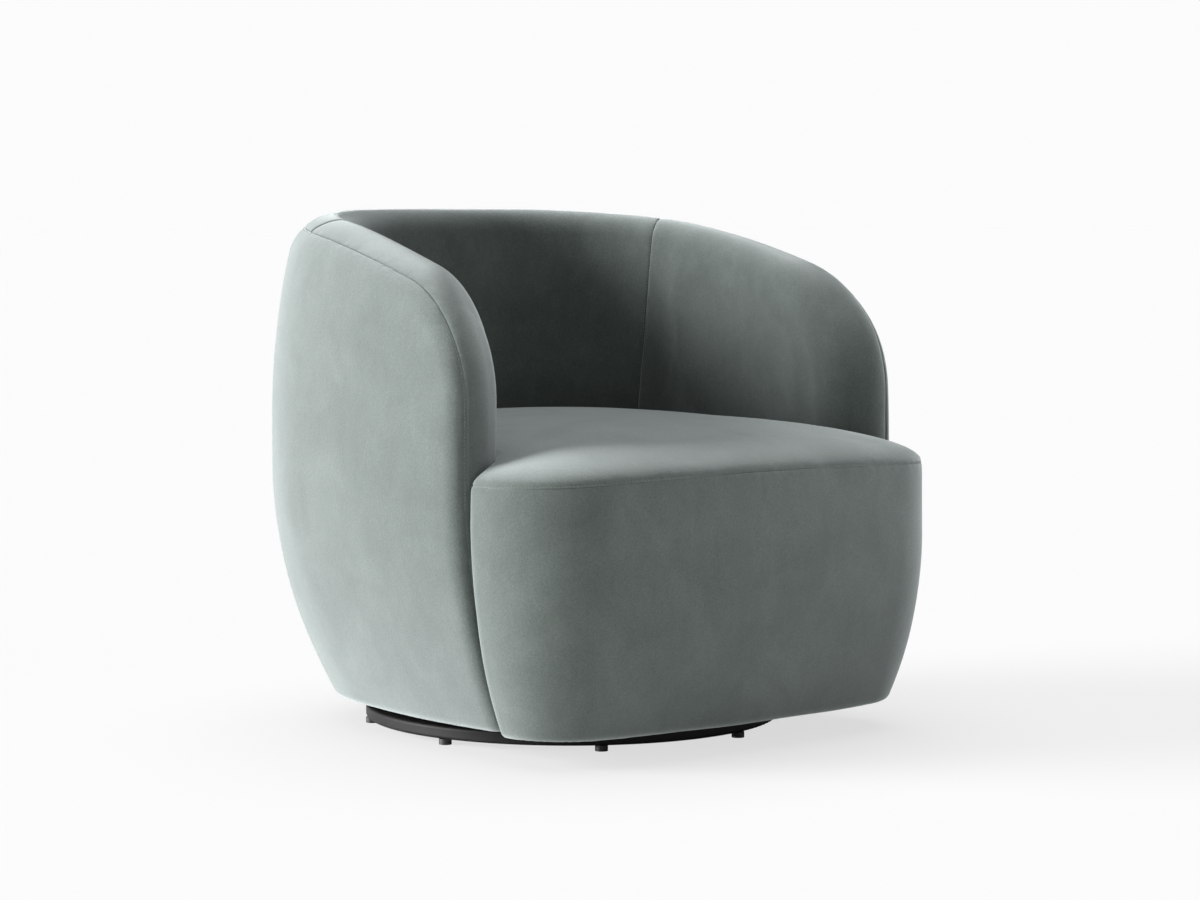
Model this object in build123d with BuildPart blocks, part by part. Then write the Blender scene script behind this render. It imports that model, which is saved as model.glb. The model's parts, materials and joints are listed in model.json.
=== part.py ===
from build123d import *
import math
import os

# Upholstered barrel chair that turns on a low round base. Millimetres, front towards -Y, floor at Z = 0.

os.makedirs("parts", exist_ok=True)

# Overall sizes
chair_width = 830.0  # across the arms where they bulge most
chair_depth = 872.0  # front of the apron to the back of the barrel
chair_height = 746.0  # floor to the rim at the back

# Base plinth and its glides
plinth_diameter = 604.0
plinth_thickness = 18.0
plinth_edge_radius = 4.0
glide_count = 8
glide_diameter = 18.0
glide_height = 8.0
glide_edge_inset = 8.0  # glide centre to the edge of the plinth
glide_first_angle = -121.0
glide_pin_diameter = 5.0
glide_pin_length = 12.0

# Turntable bearing
race_diameter = 260.0  # circle of the ball centres
race_plate_inner = 190.0
race_plate_outer = 330.0
race_plate_thickness = 5.0
race_gap = 4.0  # between the two plates
ball_count = 24
ball_diameter = 9.0
ball_clearance = 0.3
cage_width = 18.0
cage_thickness = 2.4
plate_screw_count = 6
plate_screw_circle = 304.0
plate_screw_diameter = 5.0
plate_screw_head = 9.6
plate_screw_length = 16.0

# Centre bolt, bush, washer and lock nut
bolt_diameter = 16.0
bolt_head_diameter = 32.0
bolt_head_height = 5.0
bolt_end = 4.0  # thread past the nut
bush_wall = 3.0
bush_flange_diameter = 36.0
bush_flange_thickness = 3.0
washer_diameter = 40.0
washer_thickness = 3.0
nut_radius = 14.0  # to the corners of the hexagon
nut_height = 13.0

# Clearances
soft_gap = 0.3  # between upholstered faces and what they lie on
running_gap = 0.3  # between turning faces
timber_gap = 3.0  # between bent boards and the timber behind them
hole_clearance = 0.2  # radial, round pins, bolts and screws

# Outer form of the arms and back
widest_height = 376.0
arm_front = 174.0  # arm front face, set back from the apron front
bottom_draw_side = 88.0  # the wall draws in towards the bottom
bottom_draw_back = 101.0
top_draw = 44.0  # and a little towards the rim
side_radius = 1500.0
side_bulge = 84.0  # widest point, in front of the turning axis
back_radius = 0.715 * chair_width
back_corner_radius = 0.437 * chair_width
arm_nose_radius = 0.416 * chair_width
arm_nose_reach = 90.0  # the arm's curve would close this far past the apron
arm_nose_front_radius = 900.0
seat_wall = 102.0  # wall thickness at the seat
rim_wall = 80.0  # wall thickness at the rim

# Rim seen from the side: level at the back, a long fall, then a turn down to the arm front
rim_level_end = 29.0  # where the fall starts, from the back face
shoulder_drop = 265.0  # from the rim at the back to where the arm front turns upright
shoulder_radius = 197.0
rim_outer_round = 44.0
rim_inner_round = 31.0

# Layers of the wall, from outside to inside
cover_pad = 13.0
return_width = 60.0  # outside cover turned in at the arm fronts, behind the apron
board_thickness = 3.0
rail_thickness = 20.0
rim_pad = 45.0
inside_pad = 26.0
inside_seam_angle = 29.3  # upright seams between the back and the arms, from the X axis

# Seat block: apron below the seam, crowned seat above it
block_step = 14.0  # apron side, in from the arm's outer face
block_widest_height = 280.0
block_bottom_draw = 48.0
block_side_radius = 2100.0
block_side_bulge = 130.0  # widest point, in front of the turning axis
block_front_radius = 1900.0
block_corner_radius = 0.173 * chair_width
block_back_inset = 55.0  # hidden edge of the seat, inside the back wall
seam_height = 391.0
seam_droop = 13.0  # the front seam falls towards the corners
seat_crown = 54.0
crown_reach = 300.0  # from the seam to the flat of the crown
block_pad = 12.0
apron_board_thickness = 9.0

# Timber and springs
panel_thickness = 15.0
deck_height = 345.0
deck_thickness = 18.0
deck_opening_width = 440.0
deck_opening_length = 450.0
deck_opening_shift = 60.0  # opening centre, towards the front
rib_thickness = 18.0
rib_angles = (90.0, 48.0, 132.0, 8.0, 172.0, -21.0, 201.0)
rib_names = ("back", "back_right", "back_left", "right", "left", "front_right", "front_left")
rib_depth = 215.0  # below the deck, in from the outer face
rib_screw_inset = 147.0  # screw circle, in from the widest part of the arms
rib_screw_diameter = 5.0
rib_screw_head = 10.0
rib_screw_length = 45.0
post_width = 40.0
post_side_inset = 165.0  # post centre, in from the widest part of the arms
post_inset = 115.0  # post centre, back from the apron front
spring_count = 5
spring_spacing = 84.0
spring_wire = 4.0
spring_pitch = 26.0
spring_bar = 22.0
clip_width = 16.0
clip_length = 14.0
clip_height = 8.0
pad_felt = 6.0
pad_overlap = 12.0  # felt past the deck opening
dust_thickness = 0.8
dust_inset = 10.0

# Heights and positions that follow from the sizes above
half_width = chair_width / 2
back_y = chair_depth / 2
front_y = -chair_depth / 2
arm_front_y = front_y + arm_front
shoulder_height = chair_height - shoulder_drop
rib_screw_radius = half_width - rib_screw_inset
plinth_top = glide_height + plinth_thickness
body_bottom = plinth_top + 2 * race_plate_thickness + race_gap
panel_top = body_bottom + panel_thickness
deck_bottom = deck_height - deck_thickness
race_middle = plinth_top + race_plate_thickness + race_gap / 2
spring_height = deck_height + clip_height / 2
felt_bottom = deck_height + clip_height + soft_gap
foam_bottom = felt_bottom + pad_felt + soft_gap
rail_depth = cover_pad + soft_gap + board_thickness + timber_gap
rail_rim = rim_pad + soft_gap


def meeting_point(first, reach, second, other_reach):
    """Point at the given distances from two centres, on the +X side."""
    span = second - first
    along = (reach**2 - other_reach**2 + span.length**2) / (2 * span.length)
    across = math.sqrt(reach**2 - along**2)
    unit = span.normalized()
    normal = Vector(-unit.Y, unit.X)
    return max(
        (first + unit * along + normal * side * across for side in (1, -1)), key=lambda point: point.X
    )


def bearing(centre, point):
    """Direction from a centre to a point, in degrees."""
    return math.degrees(math.atan2(point.Y - centre.Y, point.X - centre.X))


def plan(height, width, back, front, bulge, radii):
    """Closed outline of tangent arcs at a height, the same on both sides of the YZ plane."""
    side_r, back_r, back_corner_r, front_r, front_corner_r = radii
    back_c = Vector(0, back - back_r)
    side_c = Vector(width - side_r, bulge)
    front_c = Vector(0, front + front_r)
    back_k = meeting_point(back_c, back_r - back_corner_r, side_c, side_r - back_corner_r)
    front_k = meeting_point(side_c, side_r - front_corner_r, front_c, front_r - front_corner_r)
    turns = (
        bearing(front_c, front_k),
        bearing(side_c, front_k),
        bearing(side_c, back_k),
        bearing(back_c, back_k),
    )
    corners = ((front_k, front_corner_r), (side_c, side_r), (back_k, back_corner_r))
    with BuildSketch(Plane.XY.offset(height)) as outline:
        with BuildLine():
            CenterArc(front_c, front_r, -180 - turns[0], 180 + 2 * turns[0])
            for (centre, radius), start, end in zip(corners, turns, turns[1:]):
                CenterArc(centre, radius, start, end - start)
                CenterArc((-centre.X, centre.Y), radius, 180 - end, end - start)
            CenterArc(back_c, back_r, turns[3], 180 - 2 * turns[3])
        make_face()
    return outline.sketch


def wall_plan(height, depth, shape_height=None):
    """Outline of the arms and back at a height, depth in from the outer face."""
    level = height if shape_height is None else shape_height
    low = max(0.0, (widest_height - level) / (widest_height - body_bottom)) ** 2
    high = max(0.0, (level - widest_height) / (chair_height - widest_height)) ** 2.6
    side_in = depth + bottom_draw_side * low + top_draw * high
    back_in = depth + bottom_draw_back * low + top_draw * high
    return plan(
        height,
        half_width - side_in,
        back_y - back_in,
        front_y - arm_nose_reach + depth,
        -side_bulge,
        (
            side_radius - side_in,
            back_radius - back_in,
            back_corner_radius - back_in,
            arm_nose_front_radius - depth,
            arm_nose_radius - side_in,
        ),
    )


def wall_body(depth):
    """Everything inside the outer face of the arms and back, taken in by depth."""
    rise = chair_height - body_bottom
    levels = [body_bottom + rise * share for share in (0, 0.12, 0.26, 0.43, 0.64, 0.83, 1)]
    with BuildPart() as body:
        loft(sections=[wall_plan(level, depth) for level in levels])
        extrude(to_extrude=wall_plan(chair_height, depth), amount=rim_pad)
    return body.part


def inner_body(spread, bottom):
    """The sitting space between the arms from a height up, made wider by spread."""
    top = chair_height + rim_pad
    lean = (top_draw + rim_wall - seat_wall) / (chair_height - seam_height)
    with BuildPart() as body:
        loft(
            sections=[
                wall_plan(level, seat_wall + lean * (level - seam_height) - spread, widest_height)
                for level in (bottom, top)
            ],
            ruled=True,
        )
    return body.part


def wall_prism(depth, bottom, top):
    """Upright block with the widest outline of the wall, depth in from the outer face."""
    with BuildPart() as body:
        extrude(to_extrude=wall_plan(bottom, depth, widest_height), amount=top - bottom)
    return body.part


def rim_prism(drop):
    """Everything under the rim line, taken in by drop, as wide as the chair."""
    level_y = back_y - rim_level_end
    run = level_y - arm_front_y - shoulder_radius
    rise = chair_height - shoulder_height
    fall_radius = (run**2 + rise**2 - shoulder_radius**2) / (2 * (rise - shoulder_radius))
    fall_c = Vector(level_y, chair_height - fall_radius)
    turn_c = Vector(arm_front_y + shoulder_radius, shoulder_height)
    turn = bearing(fall_c, turn_c)
    far_y = back_y + rim_pad
    with BuildPart() as body:
        with BuildSketch(Plane.YZ):
            with BuildLine():
                Polyline(
                    (arm_front_y + drop, shoulder_height),
                    (arm_front_y + drop, body_bottom),
                    (far_y, body_bottom),
                    (far_y, chair_height - drop),
                    (level_y, chair_height - drop),
                )
                CenterArc(fall_c, fall_radius - drop, 90.0, turn - 90.0)
                CenterArc(turn_c, shoulder_radius - drop, turn, 180.0 - turn)
            make_face()
        extrude(amount=chair_width, both=True)
    return body.part


def block_plan(height, depth):
    """Outline of the seat block at a height, depth in from its outer face."""
    low = max(0.0, (block_widest_height - height) / (block_widest_height - body_bottom)) ** 2
    rise = min(1.0, max(0.0, (height + depth - seam_height) / seat_crown))
    crown_in = crown_reach * (1 - math.sqrt(1 - rise**2))
    inset = depth + block_bottom_draw * low + crown_in
    return plan(
        height,
        half_width - arm_taper - block_step - inset,
        back_y - block_back_inset - inset,
        front_y + inset,
        -block_side_bulge,
        (
            block_side_radius - depth,
            back_radius,
            back_corner_radius - inset,
            block_front_radius - depth,
            block_corner_radius - depth - block_bottom_draw * low,
        ),
    )


# Half width that the arm loses between its bulge and its front face
nose_run = arm_front_y + side_bulge
arm_taper = side_radius - math.sqrt(side_radius**2 - nose_run**2)


def block_body(depth):
    """Everything inside the outer face of the seat block, taken in by depth."""
    seam = seam_height - depth
    lower = [body_bottom + (seam - body_bottom) * share for share in (0, 0.25, 0.5, 0.75, 1)]
    insets = (0, 0.06, 0.2, 0.36, 0.53, 0.7)
    upper = [seam + seat_crown * math.sqrt(1 - (1 - inset) ** 2) for inset in insets]
    with BuildPart() as body:
        loft(sections=[block_plan(level, depth) for level in lower])
        loft(sections=[block_plan(level, depth) for level in upper])
    return body.part


def under_seam(drop):
    """Everything under the front seam, which falls in one arc towards the corners."""
    with BuildPart() as body:
        with BuildSketch(Plane.XZ):
            with BuildLine():
                reach = half_width
                ThreePointArc(
                    (-reach, seam_height - seam_droop - drop),
                    (0, seam_height - drop),
                    (reach, seam_height - seam_droop - drop),
                )
                Polyline(
                    (reach, seam_height - seam_droop - drop),
                    (reach, 0),
                    (-reach, 0),
                    (-reach, seam_height - seam_droop - drop),
                )
            make_face()
        extrude(amount=chair_depth, both=True)
    return body.part


def before_arms(gap):
    """Everything in front of the arm fronts."""
    with BuildPart() as body:
        with Locations((0, arm_front_y - gap, 0)):
            Box(2 * chair_width, chair_depth, 3 * chair_height, align=(Align.CENTER, Align.MAX, Align.CENTER))
    return body.part


def slab(bottom, top):
    """Level layer wider than the chair."""
    with BuildPart() as body:
        with Locations((0, 0, bottom)):
            Box(
                2 * chair_width,
                2 * chair_depth,
                top - bottom,
                align=(Align.CENTER, Align.CENTER, Align.MIN),
            )
    return body.part


def is_rim(face):
    """True for the faces that the rim line cuts, arm fronts included."""
    normal = face.normal_at()
    flat_or_round = face.geom_type in (GeomType.PLANE, GeomType.CYLINDER)
    return flat_or_round and abs(normal.X) < 1e-3 and normal.Z > -0.5


def seat_room():
    """Space that the seat may fill: between the arms and in front of them."""
    with BuildPart() as body:
        add(before_arms(soft_gap))
        add(inner_body(-soft_gap, deck_height))
    return body.part


def tee_plate(bottom, thickness, wall_depth, block_depth, shape_height):
    """Flat plate that fills the barrel and the block in front of the arms."""
    with BuildPart() as front:
        extrude(to_extrude=block_plan(bottom, block_depth), amount=thickness)
        add(before_arms(0), mode=Mode.INTERSECT)
    with BuildPart() as body:
        extrude(to_extrude=wall_plan(bottom, wall_depth, shape_height), amount=thickness)
        add(before_arms(0), mode=Mode.SUBTRACT)
        add(front.part)
    return body.part


def frame_room(drop, lower_depth):
    """Space for the timber inside the wall, below a rim line taken in by drop."""
    liner = inside_pad + soft_gap + board_thickness + timber_gap
    with BuildPart() as body:
        add(wall_body(rail_depth))
        add(rim_prism(drop), mode=Mode.INTERSECT)
        add(slab(panel_top, 2 * chair_height), mode=Mode.INTERSECT)
        add(inner_body(liner, deck_bottom), mode=Mode.SUBTRACT)
        add(wall_prism(lower_depth, body_bottom, deck_bottom), mode=Mode.SUBTRACT)
    return body.part


def back_wedge(reach):
    """Everything behind the two upright seams inside the barrel."""
    far = 2 * chair_width
    seam = Vector(far, 0).rotate(Axis.Z, inside_seam_angle)
    with BuildPart() as body:
        with BuildSketch():
            with BuildLine():
                Polyline(
                    (0, -reach),
                    (seam.X, seam.Y - reach),
                    (seam.X, 2 * far),
                    (-seam.X, 2 * far),
                    (-seam.X, seam.Y - reach),
                    close=True,
                )
            make_face()
        extrude(amount=2 * chair_height)
    return body.part


def screw_body(diameter, head, length):
    """Countersunk screw that points down from Z = 0."""
    with BuildPart() as body:
        with BuildSketch(Plane.XZ):
            with BuildLine():
                Polyline(
                    (0, 0),
                    (head / 2, 0),
                    (diameter / 2, (diameter - head) / 2),
                    (diameter / 2, diameter / 2 - length),
                    (0, -length),
                    close=True,
                )
            make_face()
        revolve(axis=Axis.Z)
    return body.part


def save(piece, name):
    """Label a finished piece and write it."""
    piece.part.label = name
    export_step(piece.part, f"parts/{name}.step")


# Planes that screws and pins are driven from
plinth_under = Plane(origin=(0, 0, glide_height), z_dir=(0, 0, -1))
lower_plate_top = Plane.XY.offset(plinth_top + race_plate_thickness)
upper_plate_under = Plane(origin=(0, 0, body_bottom - race_plate_thickness), z_dir=(0, 0, -1))
panel_under = Plane(origin=(0, 0, body_bottom), z_dir=(0, 0, -1))
deck_top = Plane.XY.offset(deck_height)
bolt_hole = bolt_diameter / 2 + hole_clearance

# Base plinth: a round board with blind holes for the glide pins and the plate screws
glide_circle = plinth_diameter / 2 - glide_edge_inset
with BuildPart() as base_plinth:
    with BuildSketch(Plane.XY.offset(glide_height)):
        Circle(plinth_diameter / 2)
        Circle(bolt_hole, mode=Mode.SUBTRACT)
    extrude(amount=plinth_thickness)
    rounds = base_plinth.edges().filter_by(GeomType.CIRCLE).sort_by(SortBy.RADIUS)
    fillet(rounds[-2:], plinth_edge_radius)
    with Locations(plinth_under):
        with PolarLocations(glide_circle, glide_count, -glide_first_angle):
            Hole(glide_pin_diameter / 2 + hole_clearance, glide_pin_length + hole_clearance)
    with Locations(Plane.XY.offset(plinth_top)):
        with PolarLocations(plate_screw_circle / 2, plate_screw_count):
            Hole(plate_screw_diameter / 2 + hole_clearance, plate_screw_length - race_plate_thickness)
save(base_plinth, "base_plinth")

# Floor glides: a disc on a pin, under the edge of the plinth
with BuildPart() as floor_glides:
    with PolarLocations(glide_circle, glide_count, glide_first_angle):
        Cylinder(glide_diameter / 2, glide_height, align=(Align.CENTER, Align.CENTER, Align.MIN))
        Cylinder(
            glide_pin_diameter / 2,
            glide_height + glide_pin_length,
            align=(Align.CENTER, Align.CENTER, Align.MIN),
        )
save(floor_glides, "floor_glides")


def race_plate(bottom, face):
    """Ring plate with a ball groove and countersunk holes driven from a face."""
    with BuildPart() as body:
        with BuildSketch(Plane.XY.offset(bottom)):
            Circle(race_plate_outer / 2)
            Circle(race_plate_inner / 2, mode=Mode.SUBTRACT)
        extrude(amount=race_plate_thickness)
        with Locations((0, 0, race_middle)):
            Torus(race_diameter / 2, ball_diameter / 2 + ball_clearance, mode=Mode.SUBTRACT)
        with Locations(face):
            with PolarLocations(plate_screw_circle / 2, plate_screw_count):
                CounterSinkHole(
                    plate_screw_diameter / 2 + hole_clearance,
                    plate_screw_head / 2 + hole_clearance,
                    counter_sink_angle=90,
                )
    return body


def plate_screws(face):
    """Ring of countersunk screws driven from a face."""
    with BuildPart() as body:
        with Locations(face):
            with PolarLocations(plate_screw_circle / 2, plate_screw_count):
                add(screw_body(plate_screw_diameter, plate_screw_head, plate_screw_length))
    return body


# Turntable: two grooved plates with caged balls between them
lower_race_plate = race_plate(plinth_top, lower_plate_top)
save(lower_race_plate, "lower_race_plate")
lower_plate_screws = plate_screws(lower_plate_top)
save(lower_plate_screws, "lower_plate_screws")
upper_race_plate = race_plate(body_bottom - race_plate_thickness, upper_plate_under)
save(upper_race_plate, "upper_race_plate")
upper_plate_screws = plate_screws(upper_plate_under)
save(upper_plate_screws, "upper_plate_screws")

with BuildPart() as ball_cage:
    with BuildSketch(Plane.XY.offset(race_middle - cage_thickness / 2)):
        Circle(race_diameter / 2 + cage_width / 2)
        Circle(race_diameter / 2 - cage_width / 2, mode=Mode.SUBTRACT)
        with PolarLocations(race_diameter / 2, ball_count):
            Circle(ball_diameter / 2 + ball_clearance, mode=Mode.SUBTRACT)
    extrude(amount=cage_thickness)
save(ball_cage, "ball_cage")

with BuildPart() as bearing_balls:
    with Locations((0, 0, race_middle)):
        with PolarLocations(race_diameter / 2, ball_count):
            Sphere(ball_diameter / 2)
save(bearing_balls, "bearing_balls")

# Centre bolt through plinth and bottom panel, with its bush, washer and lock nut
flange_top = panel_top + bush_flange_thickness
washer_bottom = flange_top + running_gap
nut_bottom = washer_bottom + washer_thickness
with BuildPart() as centre_bolt:
    with BuildSketch(plinth_under):
        Circle(bolt_head_diameter / 2)
    extrude(amount=bolt_head_height)
    fillet(centre_bolt.edges().sort_by(Axis.Z)[0], bolt_head_height / 3)
    with BuildSketch(Plane.XY.offset(glide_height)):
        Circle(bolt_diameter / 2)
    extrude(amount=nut_bottom + nut_height + bolt_end - glide_height)
save(centre_bolt, "centre_bolt")

with BuildPart() as pivot_bush:
    with BuildSketch(Plane.XY.offset(body_bottom)):
        Circle(bolt_hole + bush_wall)
    extrude(amount=panel_thickness)
    with BuildSketch(Plane.XY.offset(panel_top)):
        Circle(bush_flange_diameter / 2)
    extrude(amount=bush_flange_thickness)
    with BuildSketch(Plane.XY.offset(body_bottom)):
        Circle(bolt_hole)
    extrude(amount=panel_thickness + bush_flange_thickness, mode=Mode.SUBTRACT)
save(pivot_bush, "pivot_bush")

with BuildPart() as pivot_washer:
    with BuildSketch(Plane.XY.offset(washer_bottom)):
        Circle(washer_diameter / 2)
        Circle(bolt_hole, mode=Mode.SUBTRACT)
    extrude(amount=washer_thickness)
save(pivot_washer, "pivot_washer")

with BuildPart() as lock_nut:
    with BuildSketch(Plane.XY.offset(nut_bottom)):
        RegularPolygon(nut_radius, 6)
        Circle(bolt_hole, mode=Mode.SUBTRACT)
    extrude(amount=nut_height)
save(lock_nut, "lock_nut")

# Bottom panel: plywood, bored for the bush, the plate screws and the rib screws
board_inside = block_pad + soft_gap + apron_board_thickness + timber_gap
with BuildPart() as bottom_panel:
    add(tee_plate(body_bottom, panel_thickness, rail_depth, board_inside, body_bottom))
    with Locations(panel_under):
        Hole(bolt_hole + bush_wall + hole_clearance)
        with PolarLocations(plate_screw_circle / 2, plate_screw_count):
            Hole(plate_screw_diameter / 2 + hole_clearance, plate_screw_length - race_plate_thickness)
        for angle in rib_angles:
            with PolarLocations(rib_screw_radius, 1, 180 - angle):
                CounterSinkHole(
                    rib_screw_diameter / 2 + hole_clearance,
                    rib_screw_head / 2 + hole_clearance,
                    counter_sink_angle=90,
                )
save(bottom_panel, "bottom_panel")

with BuildPart() as dust_cover:
    add(
        tee_plate(
            body_bottom - dust_thickness,
            dust_thickness,
            rail_depth + dust_inset,
            board_inside + dust_inset,
            body_bottom,
        )
    )
    with Locations(panel_under):
        Hole(race_plate_outer / 2 + hole_clearance)
save(dust_cover, "dust_cover")

# Seat deck: plywood frame that carries the springs, on the ribs and two front posts
with BuildPart() as seat_deck:
    add(tee_plate(deck_bottom, deck_thickness, seat_wall - inside_pad, board_inside, widest_height))
    with Locations((0, -deck_opening_shift, deck_height)):
        Box(deck_opening_width, deck_opening_length, 3 * deck_thickness, mode=Mode.SUBTRACT)
    with Locations(deck_top):
        for angle in rib_angles:
            with PolarLocations(rib_screw_radius, 1, angle):
                CounterSinkHole(
                    rib_screw_diameter / 2 + hole_clearance,
                    rib_screw_head / 2 + hole_clearance,
                    counter_sink_angle=90,
                )
save(seat_deck, "seat_deck")

for name, side in (("left", -1), ("right", 1)):
    with BuildPart() as front_post:
        with Locations((side * (half_width - post_side_inset), front_y + post_inset, panel_top)):
            Box(
                post_width,
                post_width,
                deck_bottom - panel_top,
                align=(Align.CENTER, Align.CENTER, Align.MIN),
            )
    save(front_post, f"{name}_front_post")

# Ribs and rail of the arms and back
rail_bottom = rail_rim + rail_thickness
with BuildPart() as top_rail:
    add(frame_room(rail_rim, rib_depth / 2))
    add(rim_prism(rail_bottom), mode=Mode.SUBTRACT)
save(top_rail, "top_rail")

rib_room = frame_room(rail_bottom + soft_gap, rib_depth)
screw_hole = rib_screw_diameter / 2 + hole_clearance
for name, angle in zip(rib_names, rib_angles):
    with BuildPart() as rib:
        add(rib_room)
        with Locations(Location((0, 0, 0), (0, 0, angle))):
            Box(
                chair_width,
                rib_thickness,
                2 * chair_height,
                align=(Align.MIN, Align.CENTER, Align.CENTER),
                mode=Mode.INTERSECT,
            )
        with PolarLocations(rib_screw_radius, 1, angle):
            with Locations((0, 0, body_bottom + rib_screw_length)):
                Hole(screw_hole, rib_screw_length - panel_thickness)
            with Locations((0, 0, deck_bottom)):
                Hole(screw_hole, rib_screw_length - deck_thickness)
    save(rib, f"rib_{name}")

with BuildPart() as rib_screws:
    with Locations(panel_under):
        for angle in rib_angles:
            with PolarLocations(rib_screw_radius, 1, 180 - angle):
                add(screw_body(rib_screw_diameter, rib_screw_head, rib_screw_length))
save(rib_screws, "rib_screws")

with BuildPart() as deck_screws:
    with Locations(deck_top):
        for angle in rib_angles:
            with PolarLocations(rib_screw_radius, 1, angle):
                add(screw_body(rib_screw_diameter, rib_screw_head, rib_screw_length))
save(deck_screws, "deck_screws")

# Boards that the covers are pulled over
board_outside = cover_pad + soft_gap
with BuildPart() as outside_board:
    add(wall_body(board_outside))
    add(wall_body(board_outside + board_thickness), mode=Mode.SUBTRACT)
    add(rim_prism(rail_rim), mode=Mode.INTERSECT)
save(outside_board, "outside_board")

board_inner = inside_pad + soft_gap
with BuildPart() as inside_board:
    add(inner_body(board_inner + board_thickness, deck_bottom))
    add(inner_body(board_inner, deck_bottom), mode=Mode.SUBTRACT)
    add(rim_prism(rail_rim), mode=Mode.INTERSECT)
save(inside_board, "inside_board")

with BuildPart() as apron_board:
    add(block_body(block_pad + soft_gap))
    add(block_body(block_pad + soft_gap + apron_board_thickness), mode=Mode.SUBTRACT)
    add(before_arms(soft_gap), mode=Mode.INTERSECT)
    add(slab(body_bottom, deck_height), mode=Mode.INTERSECT)
save(apron_board, "apron_board")

# Sinuous springs across the deck opening, each held by a clip at both ends
spring_reach = deck_opening_length + clip_length
bar_count = round(spring_reach / spring_pitch) + 1
pitch = spring_reach / (bar_count - 1)
first_bar = -deck_opening_shift - spring_reach / 2
spring_places = [(spring_spacing * (index - (spring_count - 1) / 2), 0) for index in range(spring_count)]
with BuildPart() as spring:
    with BuildLine(Plane.XY.offset(spring_height)) as path:
        for bar in range(bar_count):
            y = first_bar + bar * pitch
            side = 1 if bar % 2 == 0 else -1
            Line((-side * spring_bar / 2, y), (side * spring_bar / 2, y))
            if bar < bar_count - 1:
                CenterArc((side * spring_bar / 2, y + pitch / 2), pitch / 2, -90, side * 180)
    with BuildSketch(Plane(origin=path.line @ 0, z_dir=path.line % 0)):
        Circle(spring_wire / 2)
    sweep()
with BuildPart() as seat_springs:
    with Locations(*spring_places):
        add(spring.part)
save(seat_springs, "seat_springs")

with BuildPart() as spring_clips:
    with Locations(*spring_places):
        with Locations((0, first_bar, spring_height), (0, first_bar + spring_reach, spring_height)):
            Box(clip_width, clip_length, clip_height)
            Cylinder(
                spring_wire / 2 + hole_clearance,
                2 * clip_width,
                rotation=(0, 90, 0),
                mode=Mode.SUBTRACT,
            )
save(spring_clips, "spring_clips")

with BuildPart() as spring_pad:
    with Locations((0, -deck_opening_shift, felt_bottom)):
        Box(
            deck_opening_width + 2 * pad_overlap,
            spring_reach + 2 * pad_overlap,
            pad_felt,
            align=(Align.CENTER, Align.CENTER, Align.MIN),
        )
save(spring_pad, "spring_pad")

# Seat and apron: one padded skin, parted along the front seam
with BuildPart() as block_skin:
    add(block_body(0))
    add(block_body(block_pad), mode=Mode.SUBTRACT)

with BuildPart() as apron_pad:
    add(block_skin.part)
    add(under_seam(soft_gap), mode=Mode.INTERSECT)
    add(before_arms(soft_gap), mode=Mode.INTERSECT)
save(apron_pad, "apron_pad")

with BuildPart() as seat_cover:
    add(block_skin.part)
    add(under_seam(0), mode=Mode.SUBTRACT)
    add(seat_room(), mode=Mode.INTERSECT)
save(seat_cover, "seat_cover")

with BuildPart() as seat_foam:
    add(block_body(block_pad + soft_gap))
    add(seat_room(), mode=Mode.INTERSECT)
    add(slab(foam_bottom, 2 * chair_height), mode=Mode.INTERSECT)
save(seat_foam, "seat_foam")

# Arms and back: outside cover up to the rim seam, inside pads that wrap over the rim
with BuildPart() as barrel:
    add(wall_body(0))
    add(rim_prism(0), mode=Mode.INTERSECT)
    fillet(barrel.faces().filter_by(is_rim).edges().filter_by(Axis.X, reverse=True), rim_outer_round)

with BuildPart() as arm_returns:
    add(barrel.part)
    add(before_arms(-cover_pad), mode=Mode.INTERSECT)
    add(slab(panel_top + soft_gap, deck_bottom - soft_gap), mode=Mode.INTERSECT)
    add(wall_body(return_width), mode=Mode.SUBTRACT)

with BuildPart() as outside_cover:
    add(barrel.part)
    add(wall_body(cover_pad), mode=Mode.SUBTRACT)
    add(arm_returns.part)
save(outside_cover, "outside_cover")

with BuildPart() as wall_core:
    add(wall_body(cover_pad))
    add(inner_body(inside_pad, body_bottom), mode=Mode.SUBTRACT)
    add(rim_prism(rim_pad), mode=Mode.INTERSECT)

pad_bottom = deck_height + soft_gap
with BuildPart() as inside_pads:
    add(barrel.part)
    add(slab(pad_bottom, 2 * chair_height), mode=Mode.INTERSECT)
    add(inner_body(0, body_bottom), mode=Mode.SUBTRACT)
    cut_line = inside_pads.edges(Select.NEW)
    fillet(cut_line.filter_by(lambda edge: edge.bounding_box().max.Z > pad_bottom + 1), rim_inner_round)
    add(wall_body(cover_pad + soft_gap), mode=Mode.INTERSECT)
    add(wall_core.part, mode=Mode.SUBTRACT)

with BuildPart() as inside_back_pad:
    add(inside_pads.part)
    add(back_wedge(0), mode=Mode.INTERSECT)
save(inside_back_pad, "inside_back_pad")

for name, side in (("left", Align.MAX), ("right", Align.MIN)):
    with BuildPart() as arm_pad:
        add(inside_pads.part)
        add(back_wedge(soft_gap), mode=Mode.SUBTRACT)
        Box(
            chair_width,
            2 * chair_depth,
            4 * chair_height,
            align=(side, Align.CENTER, Align.CENTER),
            mode=Mode.INTERSECT,
        )
    save(arm_pad, f"{name}_arm_pad")
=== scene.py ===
import json
import math

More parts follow.
